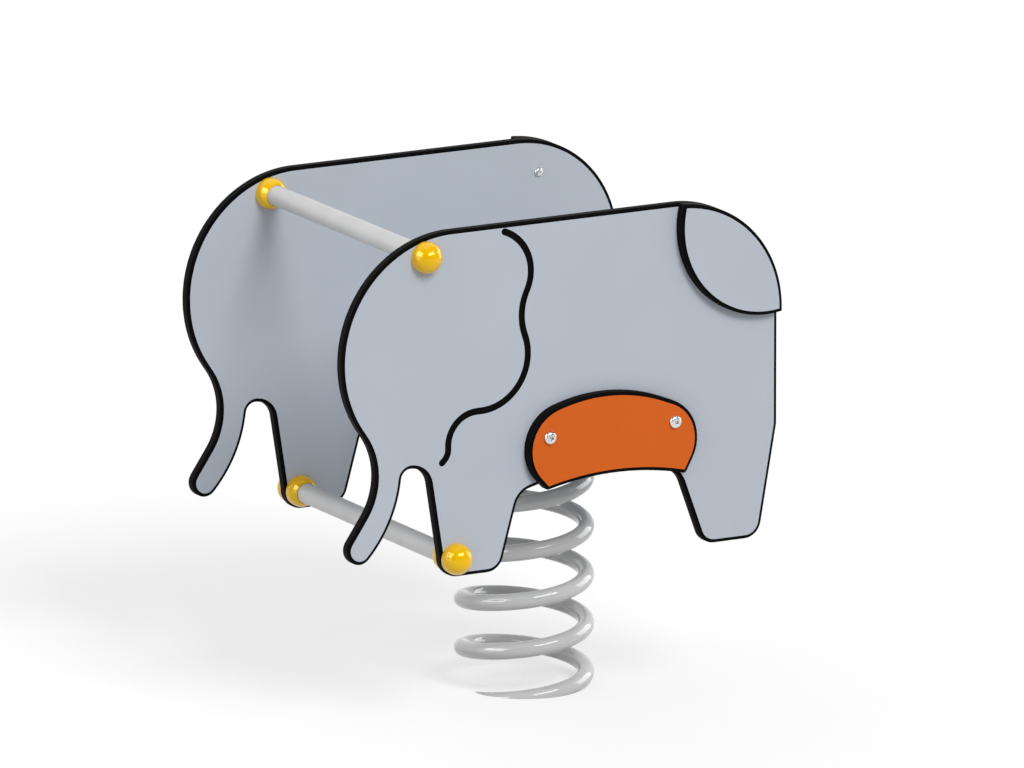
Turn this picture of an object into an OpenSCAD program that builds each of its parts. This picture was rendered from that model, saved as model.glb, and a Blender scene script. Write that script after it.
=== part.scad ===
// Spring rider: two elephant side panels on one coil spring, in millimetres
// X points forward to the trunk, Y to the rider's left and Z up.
// The origin is the centre of the anchor plate's underside, on the axis of the spring.
// Heights in the sections below are measured from the finished ground.

/* [Ground anchor] */
// Depth of the anchor plate's underside below the finished ground
ground_depth = 90; // [70:1:140]
// Side of the square anchor plate
anchor_w = 320; // [280:5:420]
// Thickness of the anchor plate
anchor_t = 12; // [8:1:20]
// Corner radius of the anchor plate
anchor_corner_r = 30; // [5:1:60]
// Distance from the plate's edges to the anchor bolt holes
anchor_edge = 30; // [20:1:50]
// Diameter of the anchor bolt holes
anchor_hole_d = 14; // [10:0.5:20]

/* [Coil spring] */
// Diameter of the spring wire
wire_d = 22; // [18:0.5:26]
// Mean diameter of the spring, from wire centre to wire centre
spring_d = 162; // [140:1:190]
// Rise of the wire in one free turn
spring_pitch = 65.5; // [56:0.5:80]
// Direction in which the wire comes out of the ground, from X towards Y
ground_angle = 70; // [0:1:359]
// Share of a turn in which a flat end turn bends up to the full pitch
end_ramp = 0.3; // [0.2:0.01:0.4]
// Free gap between the tip of the wire and the next turn
end_gap = 1; // [0.6:0.1:6]
// Gap between the wire and the plate that it lies on
spring_seat_gap = 0.3; // [0.2:0.05:0.5]

/* [Spring clamps] */
// Clamp bolt diameter
clamp_bolt_d = 12; // [8:1:14]
// Width of a clamp along the wire
clamp_w = 34; // [26:1:44]
// Thickness of a clamp over the wire
clamp_t = 7; // [5:0.5:9]
// Gap between the wire and the groove of a clamp
groove_gap = 0.6; // [0.5:0.05:0.9]
// Wall between the groove and the bolt hole
clamp_web = 4.5; // [3:0.5:8]
// Distance from the bolt to the end of the clamp
clamp_edge = 14; // [11:1:20]
// Gap left under a clamp's feet, so that it grips the wire
clamp_lift = 3; // [1:0.5:5]
// Corner radius of a clamp
clamp_corner_r = 8; // [2:1:12]

/* [Seat carrier] */
// Height of the carrier's underside below the corner point of the belly arch
carrier_drop = 6.5; // [0:0.5:12]
// Thickness of the folded plate
carrier_t = 5; // [3:0.5:8]
// Height of the folded carrier
carrier_h = 70; // [60:1:90]
// Length that the carrier's base runs past the spring at the front and the rear
carrier_margin = 37; // [34:1:60]
// Width of the inturned lips under the seat
lip_w = 45; // [34:1:70]
// Bend radius at the middle of the plate
carrier_bend_r = 8; // [4.5:0.5:14]

/* [Seat board] */
// Thickness of the seat board
seat_t = 15; // [12:1:22]
// Length of the seat board
seat_l = 250; // [220:1:300]
// Middle of the seat board, forward of the spring's axis
seat_x = -9; // [-20:1:10]
// Corner radius of the seat board
seat_corner_r = 24; // [5:1:50]
// Gap between the seat board and each panel
seat_side_gap = 1.5; // [0.5:0.5:5]
// Seat screw diameter
seat_screw_d = 8; // [6:1:10]
// Distance of the seat screws from the middle of the seat
seat_screw_x = 70; // [40:1:90]

/* [Side panels] */
// Clear width between the two panels
panel_gap = 410; // [360:1:460]
// Thickness of the three-layer sheet
panel_t = 15; // [12:0.5:20]
// Width of the black border that is routed round each face
border_w = 4.8; // [2:0.1:6]
// Depth of the routed border
border_depth = 2; // [1:0.1:3]
// Height of the straight top edge
panel_top = 674.5; // [640:0.5:720]
// Height of the undersides of the feet
foot_z = 215.5; // [195:0.5:230]
// Corner radius of the feet
foot_r = 24; // [10:0.5:30]
// Rear edge of the panel
rump_x = -254.5; // [-275:0.5:-250]
// Radius of the rump
rump_r = 151.5; // [120:0.5:170]
// Corner point of the forehead, where its tangents meet
brow_x = 533; // [500:1:570]
// Radius of the forehead
brow_r = 162; // [145:1:166]
// Throat: forward, height, radius
throat = [319, 361.5, 92.5]; // [0:0.5:400]
// Front of the trunk's tip: forward, height, radius
trunk_tip = [387, 262.5, 19]; // [0:0.5:420]
// Rear of the trunk's tip: forward, height, radius
trunk_end = [359, 241, 18]; // [0:0.5:400]
// Bend inside the trunk: forward, height, radius
trunk_bend = [308, 296, 176]; // [0:0.5:400]
// Front of the notch behind the trunk: forward, height, radius
notch_front = [298.5, 367, 14]; // [0:0.5:400]
// Rear of the notch behind the trunk: forward, height, radius
notch_rear = [263, 364.5, 27]; // [0:0.5:400]
// Front foot, toe corner
front_toe_x = 239.5; // [232:0.5:250]
// Front foot, heel corner
front_heel_x = 156; // [140:1:170]
// Hind foot, toe corner
hind_toe_x = -145; // [-160:1:-135]
// Hind foot, heel corner
hind_heel_x = -228; // [-240:1:-215]
// Height of the kink in the rear edge
hock_z = 364.5; // [320:0.5:420]
// Radius of that kink
hock_r = 8; // [2:1:20]

/* [Belly arch] */
// Corner point of the belly arch, where its tangents meet
belly_x = 9; // [0:1:20]
// Height of that point, which also sets the seat and the belly plate
belly_z = 346.5; // [335:0.5:365]
// Radius of the belly arch
belly_r = 380; // [250:1:385]
// Drop from that point to the ends of the arch
belly_drop = 30; // [24:0.5:34]
// Front end of the arch
belly_front_x = 127.5; // [122:0.5:135]
// Rear end of the arch
belly_rear_x = -108; // [-118:1:-106]
// Fillet between the arch and the legs
belly_corner_r = 29; // [15:0.5:31]

/* [Ear line] */
// Width of the routed ear line
ear_w = 9; // [4:0.5:12]
// Depth of the routed ear line
ear_depth = 2; // [1:0.1:4]

/* [Rump plate] */
// Thickness of the rump plate
rump_plate_t = 14; // [12:0.5:20]
// Distance from the panel's rear edge to the centre of the plate's round lower edge
rump_plate_x = 23.5; // [15:0.5:35]
// Distance from the panel's top edge down to that centre
rump_plate_z = 32.5; // [20:0.5:40]
// Radius of the plate's round lower edge
rump_plate_r = 127; // [105:0.5:135]
// Diameter of the screws that hold the plate from inside
rump_screw_d = 6; // [5:0.5:8]
// Diameter of their heads
rump_head_d = 12; // [11:0.5:15]
// Depth of the screws in the rump plate
rump_screw_depth = 10; // [8:0.5:10]

/* [Belly plate] */
// Thickness of the belly plate
belly_plate_t = 14; // [12:0.5:20]
// Middle of the belly plate, forward of the spring's axis
plate_x = -2; // [-10:0.5:5]
// Distance between the two belly bolts
belly_bolt_span = 185; // [160:1:195]
// Height of the belly bolts over the corner point of the belly arch
belly_bolt_rise = 41.5; // [35:0.5:43]
// Diameter of the belly bolts and the bar bolts
bolt_d = 10; // [8:1:12]

/* [Bars] */
// Outer diameter of the tubes
tube_d = 26.9; // [24:0.1:30]
// Wall of the tubes
tube_wall = 2.6; // [2:0.1:4]
// Handlebar, forward of the spring's axis
handle_x = 265.5; // [245:0.5:280]
// Handlebar, below the top edge of the panels
handle_drop = 30.5; // [28:0.5:45]
// Footrest bar, forward of the spring's axis
footrest_x = 222; // [200:0.5:224]
// Footrest bar, above the undersides of the feet
footrest_rise = 24.5; // [22:0.5:40]
// Length of the threaded plugs in the tube ends
plug_l = 26; // [22:1:40]
// Depth of the bar bolts in the plugs
plug_thread_l = 20; // [12:1:21]

/* [Caps and collars] */
// Diameter of the caps and collars
cap_d = 41.5; // [38:0.5:48]
// Height of the straight base under the dome
cap_base_h = 4; // [2:0.5:6]
// Wall of the hollow dome
cap_wall = 2.5; // [1.5:0.1:4]
// Height of the ring that the dome snaps over
cap_ring_h = 2; // [1:0.5:3]
// Wall of that ring
cap_ring_wall = 2; // [1:0.5:3]

/* [Clearances] */
// Bolt hole minus bolt diameter
hole_gap = 0.6; // [0.3:0.1:1]
// Threaded hole minus bolt diameter
thread_gap = 0.2; // [0.1:0.05:0.4]
// Collar bore minus tube diameter
collar_gap = 0.4; // [0.2:0.1:0.8]
// Radial gap of a plug in its tube and a dome on its ring
slip_gap = 0.15; // [0.1:0.05:0.3]

/* [Hidden] */
$fn = 48;

// Longest step and widest angle of the short lines that make up an arc
arc_step = 6;
arc_angle = 10;
// Length by which a cut runs past the face that it opens
cut_over = 1;
// Rings in one turn of the spring, and sides of its wire
spring_rings = 36;
spring_sides = 8;
// Share of a turn over which the slope of the wire is taken
slope_step = 0.01;

// Standard proportions of the fasteners, as shares of the thread diameter
button_head = 1.75;
button_height = 0.55;
button_edge = 0.1;
socket_width = 0.6;
socket_depth = 0.3;
hex_width = 1.6;
hex_head = 0.65;
nut_height = 0.85;
washer_width = 2;
washer_t = 0.2;
sunk_head = 2;
// Length of bolt that shows past its nut
bolt_end = 2.5;
// Height of the rump screws' heads
rump_head_h = 4;
// Rest of plate left under a threaded hole's bolt
bolt_floor = 1;

// Ear line: forward, drop below the top edge, corner radius
ear_path = [
    [149.5, 10, 0], [90, 34, 59], [130, 119.5, 74], [87.5, 244, 69],
    [234.5, 242.5, 42], [232, 297.5, 20], [241.5, 305.5, 0]
];
// Belly plate: forward of its middle, height over the belly arch's corner point, corner radius
belly_plate_shape = [
    [170, 53.5, 59], [95.5, -28.5, 5], [-6, -4.5, 420], [-109.5, -29.5, 5],
    [-150.5, 46.5, 56.5], [0.5, 105.5, 234]
];
// Rump screws: forward of the rear edge, below the top edge
rump_screw_spots = [[120.5, 45.5], [44.5, 128]];
// Clamps along a flat end turn, in degrees from the tip of the wire
clamp_spots = [65, 164];

wire_r = wire_d / 2;
spring_r = spring_d / 2;
carrier_z = belly_z - carrier_drop;
seat_z = carrier_z + carrier_h;
carrier_l = spring_d + 2 * carrier_margin;
inner_y = panel_gap / 2;
outer_y = inner_y + panel_t;
handle_z = panel_top - handle_drop;
footrest_z = foot_z + footrest_rise;
belly_bolt_z = belly_z + belly_bolt_rise;
belly_bolt_x = [plate_x - belly_bolt_span / 2, plate_x + belly_bolt_span / 2];
lip_middle_y = inner_y - lip_w / 2;
bolt_hole_d = bolt_d + hole_gap;

// Bottom and top of the wire's centre line, and its turns from tip to tip
spring_bottom_z = anchor_t + spring_seat_gap + wire_r;
spring_top_z = ground_depth + carrier_z - spring_seat_gap - wire_r;
end_flat = 1 - end_ramp / 2 - (wire_d + end_gap) / spring_pitch;
end_turns = end_flat + end_ramp / 2;
spring_turns = (spring_top_z - spring_bottom_z) / spring_pitch + 2 * end_turns;
ring_count = ceil(spring_turns * spring_rings);
tip_angle = ground_angle - 360 * ((ground_depth - spring_bottom_z) / spring_pitch + end_turns);
bottom_clamp_angles = [for (a = clamp_spots) tip_angle + a];
top_clamp_angles = [for (a = clamp_spots) tip_angle + 360 * spring_turns - a];
clamp_bolt_off = wire_r + groove_gap + clamp_web + (clamp_bolt_d + hole_gap) / 2;
clamp_l = 2 * (clamp_bolt_off + clamp_edge);
clamp_top = spring_seat_gap + wire_d + groove_gap + clamp_t;

panel_corners = [
    [rump_x, panel_top, rump_r],
    [brow_x, panel_top, brow_r],
    throat,
    trunk_tip,
    trunk_end,
    trunk_bend,
    notch_front,
    notch_rear,
    [front_toe_x, foot_z, foot_r],
    [front_heel_x, foot_z, foot_r],
    [belly_front_x, belly_z - belly_drop, belly_corner_r],
    [belly_x, belly_z, belly_r],
    [belly_rear_x, belly_z - belly_drop, belly_corner_r],
    [hind_toe_x, foot_z, foot_r],
    [hind_heel_x, foot_z, foot_r],
    [rump_x, hock_z, hock_r]
];
belly_plate_corners = [for (c = belly_plate_shape) [plate_x + c.x, belly_z + c.y, c.z]];
ear_corners = [for (c = ear_path) [c.x, panel_top - c.y, c.z]];

function unit(v) = v / norm(v);
function flat(c) = [c.x, c.y];
function left_of(v) = [-v.y, v.x];
function turn_between(u, v) = atan2(u.x * v.y - u.y * v.x, u * v);
function reversed(list) = [for (i = [len(list) - 1 : -1 : 0]) list[i]];

// Points of a circular arc, with as many steps as its size needs
function arc(centre, r, from, turn) =
    let (steps = ceil(max(abs(turn) / arc_angle, r * abs(turn) * PI / 180 / arc_step)))
    [for (i = [0 : steps]) centre + r * [cos(from + turn * i / steps), sin(from + turn * i / steps)]];

// A corner p between its neighbours a and b, rounded with radius r
function round_corner(a, p, b, r) =
    let (
        e1 = unit(p - a),
        e2 = unit(b - p),
        turn = turn_between(e1, e2),
        side = sign(turn),
        start = p - e1 * r * tan(abs(turn) / 2),
        centre = start + left_of(e1) * r * side,
        from = atan2(start.y - centre.y, start.x - centre.x)
    )
    r == 0 ? [p] : arc(centre, r, from, turn);

// Closed outline with rounded corners
function outline(corners) =
    let (n = len(corners))
    [for (i = [0 : n - 1])
        each round_corner(flat(corners[(i + n - 1) % n]), flat(corners[i]),
                          flat(corners[(i + 1) % n]), corners[i].z)];

// Open line with rounded corners
function open_line(corners) =
    let (n = len(corners))
    [for (i = [0 : n - 1])
        each i == 0 || i == n - 1
            ? [flat(corners[i])]
            : round_corner(flat(corners[i - 1]), flat(corners[i]), flat(corners[i + 1]), corners[i].z)];

// One corner moved to the left of the line by d, with its radius changed to stay parallel
function moved_corner(p, e1, e2, r, d) =
    let (
        n1 = left_of(e1),
        n2 = left_of(e2),
        q = p + (n1 + n2) * d / (1 + n1 * n2)
    )
    [q.x, q.y, r == 0 ? 0 : max(0, r - d * sign(turn_between(e1, e2)))];

// Closed outline moved inwards by d, for corners listed clockwise
function inset(corners, d) =
    let (n = len(corners), p = [for (c = corners) flat(c)])
    [for (i = [0 : n - 1])
        moved_corner(p[i], unit(p[i] - p[(i + n - 1) % n]), unit(p[(i + 1) % n] - p[i]), corners[i].z, -d)];

// Open line moved to its left by d
function shifted(corners, d) =
    let (n = len(corners), p = [for (c = corners) flat(c)])
    [for (i = [0 : n - 1])
        moved_corner(p[i], unit(p[max(i, 1)] - p[max(i, 1) - 1]),
                     unit(p[min(i, n - 2) + 1] - p[min(i, n - 2)]), corners[i].z, d)];

// Band of width w along an open line, with square ends
function band(corners, w) =
    concat(open_line(shifted(corners, w / 2)), reversed(open_line(shifted(corners, -w / 2))));

// Points of the half circle that closes such a band at its end c, seen from the point before it
function round_end(c, before, w) =
    let (
        out = flat(c) - flat(before),
        points = arc(flat(c), w / 2, atan2(out.y, out.x) + 90, -180)
    )
    [for (i = [1 : len(points) - 2]) points[i]];

// Band of width w along an open line, with round ends
function round_band(corners, w) =
    let (n = len(corners))
    concat(
        open_line(shifted(corners, w / 2)),
        round_end(corners[n - 1], corners[n - 2], w),
        reversed(open_line(shifted(corners, -w / 2))),
        round_end(corners[0], corners[1], w)
    );

function rectangle(l, w, r) =
    outline([[-l / 2, w / 2, r], [l / 2, w / 2, r], [l / 2, -w / 2, r], [-l / 2, -w / 2, r]]);

// Rise of the wire over its lower tip, n turns along it
function end_rise(n) =
    n < end_flat ? 0
    : n < end_flat + end_ramp ? spring_pitch * pow(n - end_flat, 2) / (2 * end_ramp)
    : spring_pitch * (n - end_turns);
function wire_height(n) =
    n < spring_turns / 2
        ? spring_bottom_z + end_rise(n)
        : spring_top_z - end_rise(spring_turns - n);
function wire_centre(n) =
    let (a = tip_angle + 360 * n)
    [spring_r * cos(a), spring_r * sin(a), wire_height(n)];
function wire_ring(n) =
    let (
        a = tip_angle + 360 * n,
        out = [cos(a), sin(a), 0],
        slope = (wire_height(n + slope_step) - wire_height(n - slope_step)) / (2 * slope_step),
        along = unit([-2 * PI * spring_r * sin(a), 2 * PI * spring_r * cos(a), slope]),
        over = cross(along, out)
    )
    [for (k = [0 : spring_sides - 1])
        wire_centre(n) + wire_r * (cos(360 * k / spring_sides) * out + sin(360 * k / spring_sides) * over)];

// A sheet of thickness t in the XZ plane, from y towards the rider's left
module sheet(y, t) {
    translate([0, y + t, ground_depth])
        rotate([90, 0, 0])
            linear_extrude(height = t)
                children();
}

// A place on a panel: children point outwards, to the rider's left
module at_side(x, y, z) {
    translate([x, y, ground_depth + z])
        rotate([-90, 0, 0])
            children();
}

module both_sides() {
    children();
    mirror([0, 1, 0])
        children();
}

module domed_head(d, h, edge) {
    ball_r = (pow(d / 2, 2) + pow(h - edge, 2)) / (2 * (h - edge));
    intersection() {
        translate([0, 0, h - ball_r])
            sphere(r = ball_r);
        cylinder(d = d, h = h);
    }
}

// Bolt with a round head on the face at Z = 0 and a hexagon socket
module button_bolt(d, length, head_d, head_h) {
    difference() {
        union() {
            domed_head(head_d, head_h, button_edge * d);
            translate([0, 0, -length])
                cylinder(d = d, h = length + button_edge * d);
        }
        translate([0, 0, head_h - socket_depth * d])
            cylinder(d = socket_width * d / cos(30), h = socket_depth * d + cut_over, $fn = 6);
    }
}

module hex_bolt(d, length) {
    cylinder(d = hex_width * d / cos(30), h = hex_head * d, $fn = 6);
    translate([0, 0, -length])
        cylinder(d = d, h = length + hex_head * d / 2);
}

// Nut that stands below the face at Z = 0
module hex_nut(d) {
    translate([0, 0, -nut_height * d])
        difference() {
            cylinder(d = hex_width * d / cos(30), h = nut_height * d, $fn = 6);
            translate([0, 0, -cut_over])
                cylinder(d = d + thread_gap, h = nut_height * d + 2 * cut_over);
        }
}

module anchor_plate() {
    spot = anchor_w / 2 - anchor_edge;
    color("silver")
        difference() {
            linear_extrude(height = anchor_t)
                polygon(rectangle(anchor_w, anchor_w, anchor_corner_r));
            for (x = [-spot, spot], y = [-spot, spot])
                translate([x, y, -cut_over])
                    cylinder(d = anchor_hole_d, h = anchor_t + 2 * cut_over);
            translate([0, 0, anchor_t])
                clamp_holes(bottom_clamp_angles, anchor_t, clamp_bolt_d + thread_gap);
        }
}

// The bolt places of the clamps, on a plate whose face is at Z = 0
module at_clamp_bolts(angles) {
    for (a = angles, off = [-clamp_bolt_off, clamp_bolt_off])
        rotate([0, 0, a])
            translate([spring_r + off, 0, 0])
                children();
}

module clamp_holes(angles, t, d) {
    at_clamp_bolts(angles)
        translate([0, 0, -t - cut_over])
            cylinder(d = d, h = t + 2 * cut_over);
}

// Clamps that bridge the wire on a plate whose face is at Z = 0
module spring_clamps(angles) {
    groove_r = wire_r + groove_gap;
    for (a = angles)
        difference() {
            rotate([0, 0, a])
                translate([spring_r, 0, clamp_lift])
                    linear_extrude(height = clamp_top - clamp_lift)
                        polygon(rectangle(clamp_l, clamp_w, clamp_corner_r));
            translate([0, 0, wire_r + spring_seat_gap])
                rotate_extrude()
                    translate([spring_r, 0])
                        circle(r = groove_r);
            difference() {
                cylinder(r = spring_r + groove_r, h = wire_r + spring_seat_gap);
                translate([0, 0, -cut_over])
                    cylinder(r = spring_r - groove_r, h = wire_d);
            }
            translate([0, 0, clamp_top])
                clamp_holes([a], clamp_top, clamp_bolt_d + hole_gap);
        }
}

module clamp_bolts(angles, length) {
    at_clamp_bolts(angles)
        translate([0, 0, clamp_top])
            hex_bolt(clamp_bolt_d, length);
}

// The underside of the carrier's base, with Z pointing down
module under_carrier() {
    translate([0, 0, ground_depth + carrier_z])
        mirror([0, 0, 1])
            children();
}

module bottom_spring_clamps() {
    color("dimgray")
        translate([0, 0, anchor_t])
            spring_clamps(bottom_clamp_angles);
}

module bottom_clamp_bolts() {
    color("silver")
        translate([0, 0, anchor_t])
            clamp_bolts(bottom_clamp_angles, clamp_top + anchor_t - bolt_floor);
}

module top_spring_clamps() {
    color("dimgray")
        under_carrier()
            spring_clamps(top_clamp_angles);
}

module top_clamp_bolts() {
    color("silver")
        under_carrier()
            clamp_bolts(top_clamp_angles, clamp_top + carrier_t + nut_height * clamp_bolt_d + bolt_end);
}

module top_clamp_nuts() {
    color("silver")
        under_carrier()
            translate([0, 0, -carrier_t])
                at_clamp_bolts(top_clamp_angles)
                    hex_nut(clamp_bolt_d);
}

// One unbroken tube along the helix, with a flat turn at either end
module coil_spring() {
    sides = spring_sides;
    last = ring_count * sides;
    points = [for (i = [0 : ring_count]) each wire_ring(spring_turns * i / ring_count)];
    walls = [for (i = [0 : ring_count - 1], k = [0 : sides - 1])
        let (a = i * sides + k, b = i * sides + (k + 1) % sides)
        each [[a, b, a + sides], [b, b + sides, a + sides]]];
    ends = [for (k = [1 : sides - 2])
        each [[0, k + 1, k], [last, last + k, last + k + 1]]];
    color("lightgray")
        polyhedron(points = points, faces = concat(walls, ends), convexity = 20);
}

// Folded channel with inturned lips, open at the top
module seat_carrier() {
    y = inner_y - carrier_t / 2;
    low = carrier_z + carrier_t / 2;
    high = seat_z - carrier_t / 2;
    fold = [
        [lip_w - inner_y, high, 0], [-y, high, carrier_bend_r], [-y, low, carrier_bend_r],
        [y, low, carrier_bend_r], [y, high, carrier_bend_r], [inner_y - lip_w, high, 0]
    ];
    color("silver")
        difference() {
            translate([0, 0, ground_depth])
                rotate([90, 0, 90])
                    linear_extrude(height = carrier_l, center = true)
                        polygon(band(fold, carrier_t));
            both_sides()
                for (x = belly_bolt_x)
                    at_side(x, inner_y - carrier_t - cut_over, belly_bolt_z)
                        cylinder(d = bolt_hole_d, h = carrier_t + 2 * cut_over);
            under_carrier()
                clamp_holes(top_clamp_angles, carrier_t, clamp_bolt_d + hole_gap);
            at_seat_screws()
                translate([0, 0, -seat_t - carrier_t - cut_over])
                    cylinder(d = seat_screw_d + hole_gap, h = carrier_t + 2 * cut_over);
        }
}

// The four seat screws, on the seat's upper face
module at_seat_screws() {
    for (x = [-seat_screw_x, seat_screw_x], y = [-lip_middle_y, lip_middle_y])
        translate([seat_x + x, y, ground_depth + seat_z + seat_t])
            children();
}

module seat_board() {
    sunk_d = sunk_head * seat_screw_d + hole_gap;
    hole_d = seat_screw_d + hole_gap;
    color("dimgray")
        difference() {
            translate([seat_x, 0, ground_depth + seat_z])
                linear_extrude(height = seat_t)
                    polygon(rectangle(seat_l, panel_gap - 2 * seat_side_gap, seat_corner_r));
            at_seat_screws() {
                translate([0, 0, -seat_t - cut_over])
                    cylinder(d = hole_d, h = seat_t + 2 * cut_over);
                translate([0, 0, -(sunk_d - hole_d) / 2])
                    cylinder(d1 = hole_d, d2 = sunk_d, h = (sunk_d - hole_d) / 2);
            }
        }
}

module seat_screws() {
    head_h = (sunk_head - 1) * seat_screw_d / 2;
    length = seat_t + carrier_t + nut_height * seat_screw_d + bolt_end;
    color("gainsboro")
        at_seat_screws()
            difference() {
                union() {
                    translate([0, 0, -head_h])
                        cylinder(d1 = seat_screw_d, d2 = sunk_head * seat_screw_d, h = head_h);
                    translate([0, 0, -length])
                        cylinder(d = seat_screw_d, h = length);
                }
                translate([0, 0, -socket_depth * seat_screw_d])
                    cylinder(d = socket_width * seat_screw_d / cos(30), h = seat_screw_d, $fn = 6);
            }
}

module seat_nuts() {
    color("silver")
        at_seat_screws()
            translate([0, 0, -seat_t - carrier_t])
                hex_nut(seat_screw_d);
}

// The left side panel: black core with two skins, routed border and ear line
module panel_sheet() {
    difference() {
        union() {
            color("black")
                sheet(inner_y + border_depth, panel_t - 2 * border_depth)
                    polygon(outline(panel_corners));
            color([0.70, 0.73, 0.77])
                sheet(inner_y, panel_t)
                    polygon(outline(inset(panel_corners, border_w)));
        }
        sheet(outer_y - ear_depth, ear_depth + cut_over)
            polygon(round_band(ear_corners, ear_w));
        for (x = belly_bolt_x)
            at_side(x, inner_y - cut_over, belly_bolt_z)
                cylinder(d = bolt_hole_d, h = panel_t + 2 * cut_over);
        for (bar = [[handle_x, handle_z], [footrest_x, footrest_z]])
            at_side(bar.x, inner_y - cut_over, bar.y)
                cylinder(d = bolt_hole_d, h = panel_t + 2 * cut_over);
        at_rump_screws()
            translate([0, 0, -cut_over])
                cylinder(d = rump_screw_d + hole_gap, h = panel_t + 2 * cut_over);
    }
}

module left_panel() {
    panel_sheet();
}

module right_panel() {
    mirror([0, 1, 0])
        panel_sheet();
}

// The rump screws' places on the panel's inner face
module at_rump_screws() {
    for (spot = rump_screw_spots)
        at_side(rump_x + spot.x, inner_y, panel_top - spot.y)
            children();
}

// Lens-shaped plate between the panel's own rump and a round lower edge
module rump_lens(edge) {
    intersection() {
        polygon(outline(inset(panel_corners, edge)));
        translate([rump_x + rump_plate_x, panel_top - rump_plate_z])
            polygon(arc([0, 0], rump_plate_r - edge, 0, 360));
    }
}

module rump_plate() {
    difference() {
        union() {
            color("black")
                sheet(outer_y, rump_plate_t - border_depth)
                    rump_lens(0);
            color([0.70, 0.73, 0.77])
                sheet(outer_y, rump_plate_t)
                    rump_lens(border_w);
        }
        at_rump_screws()
            translate([0, 0, panel_t - cut_over])
                cylinder(d = rump_screw_d + thread_gap, h = rump_screw_depth + 2 * cut_over);
    }
}

module left_rump_plate() {
    rump_plate();
}

module right_rump_plate() {
    mirror([0, 1, 0])
        rump_plate();
}

module rump_screws() {
    color("gainsboro")
        both_sides()
            at_rump_screws()
                mirror([0, 0, 1])
                    button_bolt(rump_screw_d, panel_t + rump_screw_depth, rump_head_d, rump_head_h);
}

module belly_plate() {
    difference() {
        union() {
            color("black")
                sheet(outer_y, belly_plate_t - border_depth)
                    polygon(outline(belly_plate_corners));
            color([0.82, 0.38, 0.13])
                sheet(outer_y, belly_plate_t)
                    polygon(outline(inset(belly_plate_corners, border_w)));
        }
        for (x = belly_bolt_x)
            at_side(x, outer_y - cut_over, belly_bolt_z)
                cylinder(d = bolt_hole_d, h = belly_plate_t + 2 * cut_over);
    }
}

module left_belly_plate() {
    belly_plate();
}

module right_belly_plate() {
    mirror([0, 1, 0])
        belly_plate();
}

module belly_bolts() {
    grip = belly_plate_t + panel_t + carrier_t + washer_t * bolt_d;
    color("gainsboro")
        both_sides()
            for (x = belly_bolt_x)
                at_side(x, outer_y + belly_plate_t, belly_bolt_z)
                    button_bolt(bolt_d, grip + nut_height * bolt_d + bolt_end,
                                button_head * bolt_d, button_height * bolt_d);
}

module belly_washers() {
    color("silver")
        both_sides()
            for (x = belly_bolt_x)
                at_side(x, inner_y - carrier_t - washer_t * bolt_d, belly_bolt_z)
                    difference() {
                        cylinder(d = washer_width * bolt_d, h = washer_t * bolt_d);
                        translate([0, 0, -cut_over])
                            cylinder(d = bolt_hole_d, h = washer_t * bolt_d + 2 * cut_over);
                    }
}

module belly_nuts() {
    color("silver")
        both_sides()
            for (x = belly_bolt_x)
                at_side(x, inner_y - carrier_t - washer_t * bolt_d, belly_bolt_z)
                    hex_nut(bolt_d);
}

module bar_tube(x, z) {
    at_side(x, -inner_y, z)
        difference() {
            cylinder(d = tube_d, h = panel_gap);
            translate([0, 0, -cut_over])
                cylinder(d = tube_d - 2 * tube_wall, h = panel_gap + 2 * cut_over);
        }
}

module handlebar() {
    color("lightgray")
        bar_tube(handle_x, handle_z);
}

module footrest_bar() {
    color("lightgray")
        bar_tube(footrest_x, footrest_z);
}

// The four bar ends, on the panels' inner faces
module at_bar_ends() {
    both_sides()
        for (bar = [[handle_x, handle_z], [footrest_x, footrest_z]])
            at_side(bar.x, inner_y, bar.y)
                children();
}

module bar_end_plugs() {
    color("silver")
        at_bar_ends()
            translate([0, 0, -plug_l])
                difference() {
                    cylinder(d = tube_d - 2 * tube_wall - 2 * slip_gap, h = plug_l);
                    translate([0, 0, -cut_over])
                        cylinder(d = bolt_d + thread_gap, h = plug_l + 2 * cut_over);
                }
}

module bar_bolts() {
    color("gainsboro")
        at_bar_ends()
            translate([0, 0, panel_t + cap_base_h])
                button_bolt(bolt_d, cap_base_h + panel_t + plug_thread_l,
                            button_head * bolt_d, button_height * bolt_d);
}

// Round base of a cap, with the ring that the dome snaps over
module cap_base() {
    dome_r = cap_d / 2 - cap_wall;
    ring_r = sqrt(pow(dome_r, 2) - pow(cap_ring_h, 2)) - slip_gap;
    difference() {
        union() {
            cylinder(d = cap_d, h = cap_base_h);
            cylinder(r = ring_r, h = cap_base_h + cap_ring_h);
        }
        translate([0, 0, cap_base_h])
            cylinder(r = ring_r - cap_ring_wall, h = cap_ring_h + cut_over);
        translate([0, 0, -cut_over])
            cylinder(d = bolt_hole_d, h = cap_base_h + 2 * cut_over);
    }
}

// Hollow half ball that stands on a cap's base
module cap_dome() {
    translate([0, 0, cap_base_h])
        difference() {
            intersection() {
                sphere(d = cap_d);
                cylinder(d = cap_d + cut_over, h = cap_d);
            }
            sphere(d = cap_d - 2 * cap_wall);
        }
}

// Half ball round a tube, on the inner face of a panel
module bar_collar() {
    bore = tube_d + collar_gap;
    difference() {
        union() {
            cylinder(d = cap_d, h = cap_base_h);
            translate([0, 0, cap_base_h])
                intersection() {
                    sphere(d = cap_d);
                    cylinder(d = cap_d + cut_over, h = cap_d);
                }
        }
        translate([0, 0, -cut_over])
            cylinder(d = bore, h = cap_d + 2 * cut_over);
    }
}

module outer_ends(x, z) {
    color([0.98, 0.76, 0.08])
        both_sides()
            at_side(x, outer_y, z)
                children();
}

module inner_ends(x, z) {
    color([0.98, 0.76, 0.08])
        both_sides()
            at_side(x, inner_y, z)
                mirror([0, 0, 1])
                    children();
}

module handlebar_cap_bases() {
    outer_ends(handle_x, handle_z)
        cap_base();
}

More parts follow.
